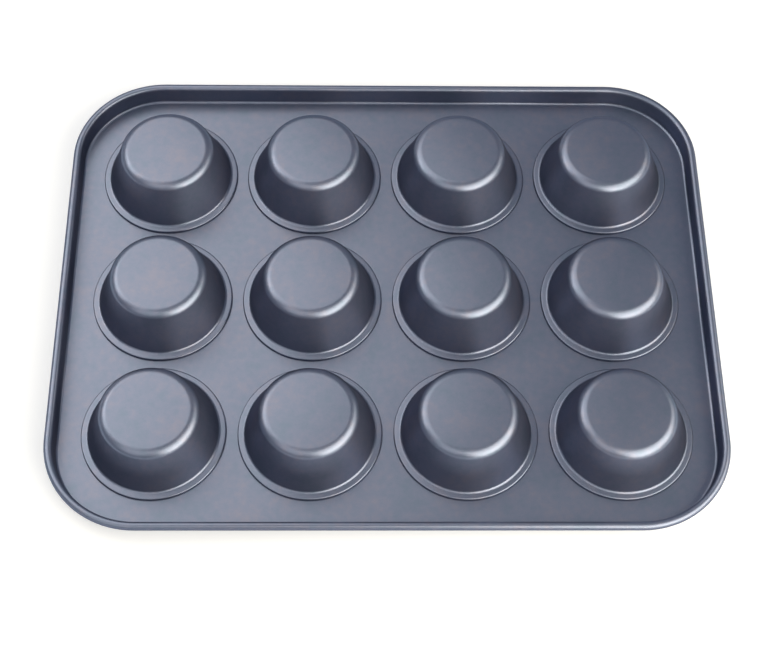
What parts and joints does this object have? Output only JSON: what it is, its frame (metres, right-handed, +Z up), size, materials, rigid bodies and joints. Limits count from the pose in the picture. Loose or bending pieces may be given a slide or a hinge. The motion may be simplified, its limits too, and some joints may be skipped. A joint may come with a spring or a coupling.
{
  "type": "muffin pan",
  "caption": "Sheet-steel muffin pan lying turned over: tapered round cups locked into a flat deck whose flared skirt is rolled over a rim wire.",
  "frame": {"origin": "middle of the footprint, on the plane that the turned-over pan lies on", "axes": "+X along the long side, +Y towards the back, +Z up out of the cup bases"},
  "size_m": [0.3498, 0.273, 0.0288],
  "materials": {
    "coated_steel": "satin blue-grey non-stick coating",
    "wire_steel": "drawn wire, hidden in the rolled rim"
  },
  "bodies": {
    "root": {"deck_plate": "coated_steel", "rim_wire": "wire_steel", "cup_front_1": "coated_steel", "cup_front_2": "coated_steel", "cup_front_3": "coated_steel", "cup_front_4": "coated_steel", "cup_middle_1": "coated_steel", "cup_middle_2": "coated_steel", "cup_middle_3": "coated_steel", "cup_middle_4": "coated_steel", "cup_back_1": "coated_steel", "cup_back_2": "coated_steel", "cup_back_3": "coated_steel", "cup_back_4": "coated_steel"}
  },
  "joints": []
}
